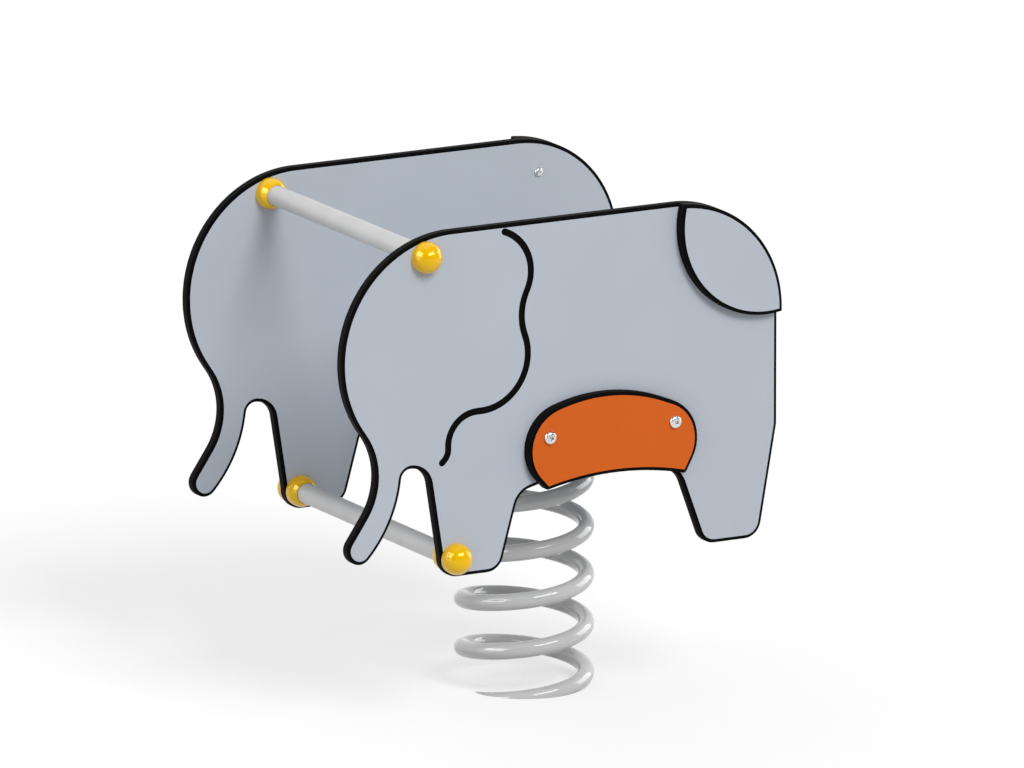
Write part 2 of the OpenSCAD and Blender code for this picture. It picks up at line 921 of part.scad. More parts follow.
module handlebar_caps() {
    outer_ends(handle_x, handle_z)
        cap_dome();
}

module handlebar_collars() {
    inner_ends(handle_x, handle_z)
        bar_collar();
}

module footrest_cap_bases() {
    outer_ends(footrest_x, footrest_z)
        cap_base();
}

module footrest_caps() {
    outer_ends(footrest_x, footrest_z)
        cap_dome();
}

module footrest_collars() {
    inner_ends(footrest_x, footrest_z)
        bar_collar();
}

// Least gap between two turns of the wire, measured along its centre line
spring_marks = [for (i = [0 : ring_count]) wire_centre(spring_turns * i / ring_count)];
spring_self_gap = min([for (i = [0 : ring_count], j = [i + spring_rings / 2 : ring_count])
    norm(spring_marks[i] - spring_marks[j])]) - wire_d;
echo(spring_turns = spring_turns, spring_self_gap = spring_self_gap);

anchor_plate();
bottom_spring_clamps();
bottom_clamp_bolts();
coil_spring();
top_spring_clamps();
top_clamp_bolts();
top_clamp_nuts();
seat_carrier();
seat_board();
seat_screws();
seat_nuts();
left_panel();
right_panel();
left_rump_plate();
right_rump_plate();
rump_screws();
left_belly_plate();
right_belly_plate();
belly_bolts();
belly_washers();
belly_nuts();
handlebar();
footrest_bar();
bar_end_plugs();
bar_bolts();
handlebar_cap_bases();
handlebar_caps();
handlebar_collars();
footrest_cap_bases();
footrest_caps();
footrest_collars();
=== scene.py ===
"""Looks of a playground spring rider: elephant side panels, bars and seat on one coil spring."""

import math

import bmesh
import bpy
from mathutils import Matrix, Vector
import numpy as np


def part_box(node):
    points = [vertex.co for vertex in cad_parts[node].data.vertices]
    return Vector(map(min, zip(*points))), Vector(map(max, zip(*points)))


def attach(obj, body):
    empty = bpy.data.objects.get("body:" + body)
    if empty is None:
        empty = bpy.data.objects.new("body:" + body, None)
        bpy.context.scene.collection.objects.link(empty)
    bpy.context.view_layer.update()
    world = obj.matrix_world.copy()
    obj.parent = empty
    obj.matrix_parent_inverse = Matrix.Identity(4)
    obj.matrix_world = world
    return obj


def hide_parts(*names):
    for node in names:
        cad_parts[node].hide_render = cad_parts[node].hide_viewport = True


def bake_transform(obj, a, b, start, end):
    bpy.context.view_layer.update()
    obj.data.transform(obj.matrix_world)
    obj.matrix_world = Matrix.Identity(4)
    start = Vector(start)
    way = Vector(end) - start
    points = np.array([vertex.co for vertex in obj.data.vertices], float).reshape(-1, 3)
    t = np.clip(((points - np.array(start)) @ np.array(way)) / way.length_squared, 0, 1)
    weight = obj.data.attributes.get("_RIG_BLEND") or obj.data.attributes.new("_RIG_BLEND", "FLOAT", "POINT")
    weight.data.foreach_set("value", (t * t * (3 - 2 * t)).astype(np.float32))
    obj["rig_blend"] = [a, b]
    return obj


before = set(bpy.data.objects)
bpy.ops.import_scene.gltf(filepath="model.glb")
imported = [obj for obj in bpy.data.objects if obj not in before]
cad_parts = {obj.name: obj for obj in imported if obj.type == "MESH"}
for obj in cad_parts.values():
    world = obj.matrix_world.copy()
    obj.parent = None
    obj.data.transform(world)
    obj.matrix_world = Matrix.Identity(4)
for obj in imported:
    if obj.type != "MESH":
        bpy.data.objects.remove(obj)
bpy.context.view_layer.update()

# Sizes repeated from the part's source, in metres
GROUND = 0.090
BORDER_DEPTH = 0.002
WIRE_R = 0.011
COIL_R = 0.081
PITCH = 0.0655
END_GAP = 0.001
BOLT_D = 0.010
INNER_BOLT_END = 0.187
RUMP_SCREW_D = 0.006
RUMP_HEAD_R = 0.006
RUMP_HEAD_H = 0.004
TUBE_R = 0.01345
TUBE_WALL = 0.0026
CAP_R = 0.02075
CAP_BASE = 0.004
CAP_WALL = 0.0025
COLLAR_GAP = 0.0002

# Also from the source: the spring's end ramp in turns, and the angle in degrees at which the wire
# leaves the ground
END_RAMP = 0.3
GROUND_ANGLE = 70

# Also from the source: a belly bolt's head, its width and height as shares of the bolt's diameter
BUTTON_HEAD_D = 1.75
BUTTON_HEAD_H = 0.55

# The spring is shown as two pieces that meet at the seam, one for each joint; heights in metres
SPRING_SEAM = 0.255
SPRING_TOP_BEND = 0.400
WIRE_SIDES = 28
TURN_STEPS = 72

# A button head's flatter crown, as a share of the head's radius, and its slope in degrees
CROWN_R = 0.60
CROWN_SLOPE = 10

# A button-head bolt's socket, pin and thread, as shares of the bolt's diameter
SOCKET_R = 0.31
SOCKET_DEPTH = 0.3
PIN_R = 0.09
THREAD_ROOT = 0.43
THREAD_PITCH = 0.15

# The flat ring round the socket and the socket's mouth, as shares of the socket's radius
SOCKET_RING = 1.22
SOCKET_MOUTH = 1.06

# How much of a shank is threaded, and where a thread rises, comes to its crest and leaves it
THREADED_SHARE = 0.45
THREAD_STEPS = (0.2, 0.55, 0.7)

# Rounded and chamfered edges, in metres; the seat's rounding stays within its brim
EDGE = 0.0004
SCREW_EDGE = 0.0002
SOCKET_EDGE = 0.0003
PIN_DROP = 0.0004
COLLAR_LIP = 0.0008
BORDER_EDGE = 0.0006
SKIN_EDGE = 0.0003
SEAT_EDGE = 0.0025
SEAT_BRIM = 0.008

# The dome starts this many degrees up from its base, which leaves a fine groove between them
DOME_START = 1.5

# Distances in metres: points that count as one, on CAD meshes and on turned shapes, the short edges
# that rounding leaves, and heights that count as level
WELD = 0.00001
FINE_WELD = 0.000001
SLIVER = 0.000002
LEVEL = 0.00002

# Angles between faces in degrees: flat enough to join, clear corners, and still shaded smooth
FLAT_ANGLE = 0.5
CORNER_ANGLE = 40
SMOOTH_ANGLE = 35
WIRE_SMOOTH_ANGLE = 60

# The camera stands off the near panel's face: side angle, elevation and distance
CAMERA_SIDE = math.radians(28.78)
CAMERA_RISE = math.radians(13.34)
CAMERA_DISTANCE = 25.6335
CAMERA_AIM = Vector((0.138704, 0.220, GROUND + 0.461947))
CAMERA_FOCUS_PX = 19873.7
CAMERA_CLIP = (1, 200)
SENSOR_WIDTH_MM = 36
PHOTO_WIDTH_PX = 1024

# Even light on the rider: name, the direction that it comes from, its strength as a share of the
# light that shows a colour as it is written, and its spread in degrees
BROAD_LIGHTS = (
    ("key_light", (-0.06, 0.76, 0.65), 0.565, 24),
    ("back_light", (0.35, -0.80, 0.50), 0.28, 100),
)

# What shines in glossy surfaces: name, direction, width and height in metres, and brightness
SOFTBOXES = (
    ("key_softbox", (-0.08, 0.77, 0.63), (2.0, 0.8), 12),
    ("left_softbox", (0.86, 0.04, 0.51), (2.2, 1.6), 7.8),
    ("left_fill_softbox", (0.98, 0.04, 0.08), (2.2, 1.0), 1.7),
    ("rim_softbox", (-0.96, 0.02, 0.28), (2.2, 1.8), 4.2),
)

# The spot that the lamps aim at and how far off they stand, and the light from the room
LIGHT_AIM = Vector((0.05, 0, 0.45))
BROAD_DISTANCE = 5
SOFTBOX_DISTANCE = 3
SKY_LIGHT = 0.56

# The floor: half its width, how much light it sends back, and what the camera sees of it
FLOOR_REACH = 40
FLOOR_BOUNCE = 0.55
FLOOR_SHADE = 0.46
FLOOR_GLOW = 0.53

# The dark screen round the lamps: radius, lower and upper edge over the ground, first angle and
# turn in degrees, steps in that turn, and tone
SCREEN_R = 6
SCREEN_HEIGHTS = (0.7, 20.0)
SCREEN_START = -15
SCREEN_TURN = 210
SCREEN_STEPS = 48
SCREEN_TONE = 0.12


def paint(red, green, blue):
    """A colour as it looks on screen, 0 to 255, as the linear colour that a shader takes."""
    parts = [c / 255 for c in (red, green, blue)]
    linear = [c / 12.92 if c <= 0.04045 else ((c + 0.055) / 1.055) ** 2.4 for c in parts]
    return (*linear, 1.0)


def shade(colour, factor):
    """A colour made darker or lighter."""
    return tuple(c * factor for c in colour[:3]) + (1.0,)


def grey(level):
    """A linear grey."""
    return (level, level, level, 1.0)


class Wire:
    """An output in a finish's nodes; sums and products of it add Math nodes."""

    def __init__(self, finish, node, output=0):
        self.finish = finish
        self.node = node
        self.socket = node.outputs[output] if node.outputs else None

    def out(self, output):
        return Wire(self.finish, self.node, output)

    def combine(self, operation, first, second):
        return self.finish.add("ShaderNodeMath", {"operation": operation}, {0: first, 1: second})

    def __add__(self, other):
        return self.combine("ADD", self, other)

    def __radd__(self, other):
        return self.combine("ADD", other, self)

    def __mul__(self, other):
        return self.combine("MULTIPLY", self, other)

    def __rmul__(self, other):
        return self.combine("MULTIPLY", other, self)

    def between(self, low, high):
        """0 at low, 1 at high, smooth in between."""
        settings = {"interpolation_type": "SMOOTHSTEP"}
        return self.finish.add("ShaderNodeMapRange", settings, {0: self, 1: low, 2: high})


class Finish:
    """The nodes of one material, or of the world."""

    def __init__(self, owner):
        self.owner = owner
        owner.use_nodes = True
        self.tree = owner.node_tree
        self.tree.nodes.clear()

    def add(self, kind, settings=None, sockets=None, output=0):
        node = self.tree.nodes.new(kind)
        for key, value in (settings or {}).items():
            setattr(node, key, value)
        for key, value in (sockets or {}).items():
            if isinstance(value, Wire):
                self.tree.links.new(value.socket, node.inputs[key])
            else:
                node.inputs[key].default_value = value
        return Wire(self, node, output)

    def place(self, stretch=None):
        """Object coordinates, stretched along the axes where that is asked for."""
        spot = self.add("ShaderNodeTexCoord").out("Object")
        if stretch is None:
            return spot
        return self.add("ShaderNodeMapping", None, {"Vector": spot, "Scale": stretch})

    def noise(self, spot, scale, detail=2.0, roughness=0.5):
        sockets = {"Vector": spot, "Scale": scale, "Detail": detail, "Roughness": roughness}
        return self.add("ShaderNodeTexNoise", None, sockets)

    def mix(self, factor, a, b):
        """Colour a where the factor is 0 and b where it is 1."""
        return self.add("ShaderNodeMix", {"data_type": "RGBA"}, {0: factor, 6: a, 7: b}, 2)

    def bump(self, height, distance, strength):
        sockets = {"Height": height, "Distance": distance, "Strength": strength}
        return self.add("ShaderNodeBump", None, sockets)

    def seen(self):
        """1 for what the camera sees, also in a mirror or through glass, else 0."""
        path = self.add("ShaderNodeLightPath")
        direct = path.out("Is Camera Ray")
        return direct + path.out("Is Glossy Ray") + path.out("Is Transmission Ray")

    def surface(self, **sockets):
        named = {key.replace("_", " "): value for key, value in sockets.items()}
        shader = self.add("ShaderNodeBsdfPrincipled", None, named)
        self.add("ShaderNodeOutputMaterial", None, {"Surface": shader})
        return self.owner


def finish_named(name):
    """The empty nodes of a new material."""
    return Finish(bpy.data.materials.new(name))


def sheet_skin(name, colour, gloss):
    """Coloured skin of the three-layer sheet: fine pebbled grain, faint mottling, light scuffs."""
    f = finish_named(name)
    spot = f.place()
    mottle = f.noise(spot, 6, 4)
    pebble = f.noise(spot, 950, 2)
    scuff = f.noise(f.place((260, 20, 18)), 1.4, 3, 0.6).between(0.66, 0.80)
    tone = f.mix(mottle.between(0.3, 0.7), shade(colour, 0.985), shade(colour, 1.015))
    return f.surface(
        Base_Color=f.mix(scuff * 0.05, tone, shade(colour, 1.25)),
        Roughness=0.52 + 0.10 * mottle + 0.06 * scuff,
        Specular_IOR_Level=gloss,
        Normal=f.bump(pebble, 0.00012, 0.35),
    )


def sheet_core():
    """Black core where the router cut it: fine tool lines that run along the cut."""
    f = finish_named("black_core")
    lines = f.noise(f.place((25, 1900, 25)), 1.0, 2)
    cloud = f.noise(f.place(), 40, 3)
    return f.surface(
        Base_Color=f.mix(cloud, paint(9, 9, 9), paint(14, 14, 13)),
        Roughness=0.46 + 0.16 * lines,
        Specular_IOR_Level=0.03,
        Normal=f.bump(lines, 0.00008, 0.3),
    )


def moulded_yellow():
    """Glossy moulded plastic of the caps and collars."""
    f = finish_named("moulded_yellow")
    flow = f.noise(f.place(), 28, 3)
    peel = f.noise(f.place(), 420, 2)
    return f.surface(
        Base_Color=f.mix(flow.between(0.25, 0.75), paint(235, 182, 1), paint(241, 190, 3)),
        Roughness=0.15 + 0.08 * peel,
        Specular_IOR_Level=0.8,
        Specular_Tint=(1.0, 0.74, 0.08, 1.0),
        Coat_Weight=0.4,
        Coat_Roughness=0.06,
        Normal=f.bump(peel, 0.00005, 0.15),
    )


def satin_tube():
    """Ground stainless tube: fine lines round the tube and a soft sheen."""
    f = finish_named("satin_tube")
    rings = f.noise(f.place((14, 2600, 14)), 1.0, 3)
    cloud = f.noise(f.place((4, 9, 4)), 2.0, 3)
    return f.surface(
        Base_Color=f.mix(cloud.between(0.3, 0.7), paint(199, 199, 199), paint(205, 205, 205)),
        Metallic=0.25,
        Roughness=0.40 + 0.06 * rings,
        Specular_IOR_Level=0.25,
        Normal=f.bump(rings, 0.00002, 0.12),
    )


def spring_coat():
    """Glossy silver-grey powder coat on the spring wire, with its orange peel."""
    f = finish_named("spring_coat")
    peel = f.noise(f.place(), 330, 2)
    cloud = f.noise(f.place(), 14, 3)
    return f.surface(
        Base_Color=f.mix(cloud.between(0.3, 0.7), paint(187, 187, 187), paint(193, 193, 193)),
        Roughness=0.48 + 0.08 * cloud,
        Specular_IOR_Level=0.2,
        Coat_Weight=1.0,
        Coat_Roughness=0.04,
        Normal=f.bump(peel, 0.00006, 0.10),
    )


def metal(name, dark, light, rough, grain):
    """Bare or plated metal with a fine grain."""
    f = finish_named(name)
    speck = f.noise(f.place(), grain, 3)
    cloud = f.noise(f.place(), grain / 12, 3)
    return f.surface(
        Base_Color=f.mix(cloud.between(0.3, 0.7), dark, light),
        Metallic=1.0,
        Roughness=rough + 0.12 * speck,
        Normal=f.bump(speck, 0.00003, 0.3),
    )


def galvanised():
    """Hot-dip zinc with its spangles."""
    f = finish_named("galvanised")
    spangle = f.add("ShaderNodeTexVoronoi", None, {"Vector": f.place(), "Scale": 95}).out("Color")
    level = f.add("ShaderNodeSeparateColor", None, {"Color": spangle})
    cloud = f.noise(f.place(), 18, 4)
    return f.surface(
        Base_Color=f.mix(level * 0.7 + cloud * 0.3, paint(150, 154, 158), paint(190, 193, 196)),
        Metallic=1.0,
        Roughness=0.48 + 0.10 * level,
        Normal=f.bump(cloud, 0.00004, 0.15),
    )


GREY_SKIN = sheet_skin("grey_skin", paint(180, 187, 197), 0.2)
ORANGE_SKIN = sheet_skin("orange_skin", paint(209, 95, 24), 0.15)
BLACK_CORE = sheet_core()
YELLOW = moulded_yellow()
TUBE_STEEL = satin_tube()
SPRING_COAT = spring_coat()
STAINLESS = metal("bright_stainless", paint(208, 208, 208), paint(224, 224, 224), 0.24, 700)
# A darker, rougher copy of the bright stainless for the walls of the bolt sockets: painted shade in the
# recess
SOCKET_PAINTED_SHADE = metal("socket_painted_shade", paint(176, 176, 176), paint(196, 196, 196), 0.40, 700)
ZINC = metal("zinc_plate", paint(176, 180, 184), paint(204, 206, 206), 0.28, 500)
GALVANISED = galvanised()


def mesh_of(name, bm, finishes):
    """A mesh from a bmesh, which is used up."""
    mesh = bpy.data.meshes.new(name)
    bm.to_mesh(mesh)
    bm.free()
    for finish in finishes:
        mesh.materials.append(finish)
    return mesh


def placed(name, data):
    """A new object in the scene."""
    thing = bpy.data.objects.new(name, data)
    bpy.context.scene.collection.objects.link(thing)
    return thing


def show(name, bm, finishes, nodes, body="rider", smooth=SMOOTH_ANGLE):
    """Makes a bmesh a piece that stands for CAD nodes and rides on a body, unless it is blended."""
    mesh = mesh_of(name, bm, finishes)
    mesh.shade_smooth()
    mesh.set_sharp_from_angle(angle=math.radians(smooth))
    piece = placed(name, mesh)
    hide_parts(*nodes)
    if body:
        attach(piece, body)
    return piece


def staged(name, bm, finish):
    """A new object in the scene from a bmesh, with one material, for the floor and the screen."""
    piece = placed(name, mesh_of(name, bm, [finish]))
    return piece


def copy_of(node):
    """A CAD node's mesh as one closed bmesh with whole flat faces."""
    bm = bmesh.new()
    bm.from_mesh(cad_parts[node].data)
    bmesh.ops.remove_doubles(bm, verts=bm.verts, dist=WELD)
    limit = math.radians(FLAT_ANGLE)
    bmesh.ops.dissolve_limit(bm, angle_limit=limit, verts=bm.verts, edges=bm.edges)
    return bm


def ease(bm, edges, radius, segments, clamp=True):
    """Rounds the given edges."""
    bmesh.ops.bevel(bm, geom=edges, offset=radius, offset_type="OFFSET", affect="EDGES",
                    segments=segments, profile=0.5, material=-1, clamp_overlap=clamp)
    bmesh.ops.dissolve_degenerate(bm, dist=SLIVER, edges=bm.edges)


def corners(bm):
    """The edges at which two faces meet at a clear outer angle."""
    limit = math.radians(CORNER_ANGLE)
    outer = [e for e in bm.edges if len(e.link_faces) == 2 and e.is_convex]
    return [e for e in outer if e.calc_face_angle() > limit]


def weigh_normals(piece):
    """Keeps flat faces flat in the shading beside their rounded edges."""
    weigh = piece.modifiers.new("weigh_normals", "WEIGHTED_NORMAL")
    weigh.keep_sharp = True


def eased(node, finish, body="rider", radius=EDGE):
    """Shows a CAD node with its outer edges eased, so that they catch the light."""
    bm = copy_of(node)
    ease(bm, corners(bm), radius, 2)
    weigh_normals(show(node + "_shown", bm, [finish], [node], body))


def sheet_piece(node, skin, axis, skin_planes, rims, brim=None):
    """Shows a piece of three-layer sheet: coloured on its skin planes and black where it is cut.

    rims gives the rounding radius of the edges at each distance from a skin plane.
    With a brim, only edges this close to the sides of the piece are rounded, and no hole's edge."""
    bm = copy_of(node)
    low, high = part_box(node)
    across = [i for i in range(3) if i != axis]

    def below_skin(vert):
        return min(abs(vert.co[axis] - plane) for plane in skin_planes)

    def from_side(vert):
        return min(min(vert.co[i] - low[i], high[i] - vert.co[i]) for i in across)

    def on_rim(vert, depth):
        return abs(below_skin(vert) - depth) < LEVEL and (brim is None or from_side(vert) < brim)

    for depth, radius in rims:
        rim = [e for e in corners(bm) if all(on_rim(v, depth) for v in e.verts)]
        ease(bm, rim, radius, 3, clamp=brim is None)
    skin_depth = BORDER_DEPTH * 0.6
    for face in bm.faces:
        flat = abs(face.normal[axis]) > 0.5
        face.material_index = int(flat and all(below_skin(v) < skin_depth for v in face.verts))
    weigh_normals(show(node + "_shown", bm, [BLACK_CORE, skin], [node]))


def turned(profile, steps=64):
    """A shape turned round Z from points of radius and height."""
    bm = bmesh.new()
    points = [bm.verts.new((radius, 0, height)) for radius, height in profile]
    edges = [bm.edges.new(pair) for pair in zip(points, points[1:])]
    bmesh.ops.spin(bm, geom=points + edges, cent=(0, 0, 0), axis=(0, 0, 1),
                   angle=2 * math.pi, steps=steps, use_merge=True)
    bmesh.ops.remove_doubles(bm, verts=bm.verts, dist=FINE_WELD)
    bmesh.ops.recalc_face_normals(bm, faces=bm.faces)
    return bm


def curve(radius, height, r, start, end, steps):
    """Profile points on an arc round a centre at that radius and height, angles in degrees."""
    angles = [math.radians(start + (end - start) * i / steps) for i in range(steps + 1)]
    return [(radius + r * math.cos(a), height + r * math.sin(a)) for a in angles]


def spread(bm, places):
    """Copies of one small shape at several places, as one bmesh."""
    pattern = mesh_of("pattern", bm, [])
    whole = bmesh.new()
    for place in places:
        held = len(whole.verts)
        whole.from_mesh(pattern)
        whole.verts.ensure_lookup_table()
        bmesh.ops.transform(whole, matrix=place, verts=whole.verts[held:])
    bpy.data.meshes.remove(pattern)
    return whole


def facing(x, y, z):
    """A place on a panel where a shape's Z points away from the middle of the rider."""
    turn = Matrix.Rotation(math.radians(-90), 4, "X")
    if y < 0:
        turn = Matrix.Rotation(math.pi, 4, "Z") @ turn
    return Matrix.Translation((x, y, z)) @ turn


def facing_in(x, y, z):
    """The same place, with Z pointing to the middle of the rider."""
    turn = Matrix.Rotation(math.radians(90 if y > 0 else -90), 4, "X")
    return Matrix.Translation((x, y, z)) @ turn


def middle(node):
    """The middle of a CAD node's box."""
    low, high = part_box(node)
    return (low + high) / 2


def button_bolt(bolt, head_r, head_h, length):
    """Bolt with a threaded shank and a round head on Z = 0.

    The head's hexagon socket has a pin in its middle, and its walls take the second material, a darker steel
    that paints the shade in the socket."""
    flat, steep = math.radians(CROWN_SLOPE), math.radians(90 - CROWN_SLOPE)
    crown_r = head_r * CROWN_R
    ball = crown_r / math.sin(flat)
    shoulder = (head_r - crown_r) / (math.sin(steep) - math.sin(flat))
    shoulder_h = head_h - ball + (ball - shoulder) * math.cos(flat)
    socket_r = bolt * SOCKET_R
    pin_r = bolt * PIN_R
    ring_angle = math.degrees(math.acos(socket_r * SOCKET_RING / ball))
    floor = head_h - bolt * SOCKET_DEPTH
    root = bolt * THREAD_ROOT
    pitch = bolt * THREAD_PITCH
    rise, crest, leave = (pitch * step for step in THREAD_STEPS)

    profile = [(0, -length), (root, -length)]
    for i in range(int(length * THREADED_SHARE / pitch)):
        start = -length + i * pitch
        profile += [(root, start + rise), (bolt / 2, start + crest), (bolt / 2, start + leave)]
    profile += [(bolt / 2, 0), (head_r - SCREW_EDGE, 0), (head_r, SCREW_EDGE)]
    shoulder_middle = head_r - shoulder * math.sin(steep)
    profile += curve(shoulder_middle, shoulder_h, shoulder, CROWN_SLOPE, 90 - CROWN_SLOPE, 10)
    profile += curve(0, head_h - ball, ball, 90 - CROWN_SLOPE, ring_angle, 3)[1:]
    top = profile[-1][1]
    pin_top = top - PIN_DROP
    profile += [(socket_r * SOCKET_MOUTH, top), (socket_r, top - SOCKET_EDGE), (socket_r, floor)]
    profile += [(pin_r * 1.3, floor), (pin_r, floor + SCREW_EDGE), (pin_r, pin_top - SOCKET_EDGE)]
    profile += [(pin_r * 0.7, pin_top), (0, pin_top)]
    bm = turned(profile, 48)

    for face in bm.faces:
        spot = face.calc_center_median()
        in_socket = pin_r < math.hypot(spot.x, spot.y) < socket_r * 1.02
        # Faces inside the socket, above its floor, take the darker steel: painted shade in the recess
        face.material_index = int(in_socket and spot.z > floor + SCREW_EDGE / 2)
    apothem = socket_r * math.cos(math.pi / 6)
    for vert in bm.verts:
        reach = math.hypot(vert.co.x, vert.co.y)
        if vert.co.z > 0 and abs(reach - socket_r) < WELD:
            away = (math.atan2(vert.co.y, vert.co.x) + math.pi) % (math.pi / 3) - math.pi / 6
            shrink = apothem / math.cos(away) / socket_r
            vert.co.x *= shrink
            vert.co.y *= shrink
    return bm


def dress_sheets():
    """Side panels, rump plates, belly plates and seat board."""
    rims = [(BORDER_DEPTH, BORDER_EDGE), (0, SKIN_EDGE)]
    plates = (("_rump_plate", GREY_SKIN, "grey_sheet"),
              ("_belly_plate", ORANGE_SKIN, "orange_sheet"))
    for side in ("left", "right"):
        low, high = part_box(side + "_panel")
        sheet_piece(side + "_panel", GREY_SKIN, 1, (low.y, high.y), rims)
        for plate, skin, slot in plates:
            low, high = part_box(side + plate)
            outer = high.y if side == "left" else low.y
            sheet_piece(side + plate, skin, 1, (outer,), rims)
    low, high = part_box("seat_board")
    faces = (low.z, high.z)
    sheet_piece("seat_board", GREY_SKIN, 2, faces, [(0, SEAT_EDGE)], SEAT_BRIM)


def tube_profile(half):
    """A bar's tube, which reaches from one panel to the other."""
    bore = TUBE_R - TUBE_WALL
    return [(bore, -half), (TUBE_R, -half), (TUBE_R, half), (bore, half), (bore, -half)]


def cap_base_profile():
    """The round base of a cap, on the outside of a panel."""
    edge = CAP_R - EDGE
    return [(0, 0), (CAP_R, 0), (CAP_R, CAP_BASE - EDGE), (edge, CAP_BASE), (0, CAP_BASE)]


def dome_profile():
    """The hollow half ball on that base."""
    hollow = CAP_R - CAP_WALL
    outside = curve(0, CAP_BASE, CAP_R, DOME_START, 90, 24)
    inside = curve(0, CAP_BASE, hollow, 90, 0, 8)
    return [(hollow, CAP_BASE), (CAP_R - EDGE, CAP_BASE)] + outside + inside


def collar_profile():
    """The collar round a bar, on the inside of a panel."""
    bore = TUBE_R + COLLAR_GAP
    lip_angle = math.degrees(math.acos((bore + COLLAR_LIP) / CAP_R))
    lip = CAP_BASE + CAP_R * math.sin(math.radians(lip_angle)) - EDGE
    outside = curve(0, CAP_BASE, CAP_R, 0, lip_angle, 14)
    return [(bore, 0), (CAP_R, 0)] + outside + [(bore, lip), (bore, 0)]


def dress_bars():
    """The two bars, with the yellow caps outside the panels and the collars inside."""
    panel_low, panel_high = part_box("left_panel")
    for bar, name in (("handlebar", "handlebar"), ("footrest_bar", "footrest")):
        spot = middle(bar)
        tube = spread(turned(tube_profile(panel_low.y), 72), [facing(spot.x, 0, spot.z)])
        show(bar + "_shown", tube, [TUBE_STEEL], [bar])
        outside = [facing(spot.x, y, spot.z) for y in (panel_high.y, -panel_high.y)]
        inside = [facing_in(spot.x, y, spot.z) for y in (panel_low.y, -panel_low.y)]
        for end, profile, places in (("_cap_bases", cap_base_profile(), outside),
                                     ("_caps", dome_profile(), outside),
                                     ("_collars", collar_profile(), inside)):
            node = name + end
            shape = spread(turned(profile), places)
            show(node + "_shown", shape, [YELLOW], [node])


def dress_bolts():
    """The belly plates' bolts and the rump plates' screws, whose heads show on the panels."""
    # The second finish is the darker socket steel, which paints the shade in the sockets
    finishes = [STAINLESS, SOCKET_PAINTED_SHADE]

    low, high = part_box("belly_bolts")
    plate_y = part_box("left_belly_plate")[1].y
    head_r = BOLT_D * BUTTON_HEAD_D / 2
    bm = button_bolt(BOLT_D, head_r, BOLT_D * BUTTON_HEAD_H, plate_y - INNER_BOLT_END)
    spots = [(x, middle("belly_bolts").z) for x in (low.x + head_r, high.x - head_r)]
    places = [facing(x, y, z) for x, z in spots for y in (plate_y, -plate_y)]
    show("belly_bolts_shown", spread(bm, places), finishes, ["belly_bolts"])

    low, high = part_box("rump_screws")
    panel_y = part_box("left_panel")[0].y
    bm = button_bolt(RUMP_SCREW_D, RUMP_HEAD_R, RUMP_HEAD_H, high.y - panel_y)
    spots = [(high.x - RUMP_HEAD_R, high.z - RUMP_HEAD_R),
             (low.x + RUMP_HEAD_R, low.z + RUMP_HEAD_R)]
    places = [facing_in(x, y, z) for x, z in spots for y in (panel_y, -panel_y)]
    show("rump_screws_shown", spread(bm, places), finishes, ["rump_screws"])


def dress_metal():
    """The pieces under the seat, in the ground and in the bars."""
    for node in ("anchor_plate", "bottom_spring_clamps"):
        eased(node, GALVANISED, "ground_anchor")
    eased("bottom_clamp_bolts", ZINC, "ground_anchor")
    for node in ("seat_carrier", "top_spring_clamps"):
        eased(node, GALVANISED)
    for node in ("top_clamp_bolts", "top_clamp_nuts", "seat_nuts", "belly_nuts", "belly_washers"):
        eased(node, ZINC)
    eased("seat_screws", STAINLESS, radius=SCREW_EDGE)
    for node in ("bar_end_plugs", "bar_bolts"):
        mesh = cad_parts[node].data
        mesh.materials.clear()
        mesh.materials.append(ZINC)


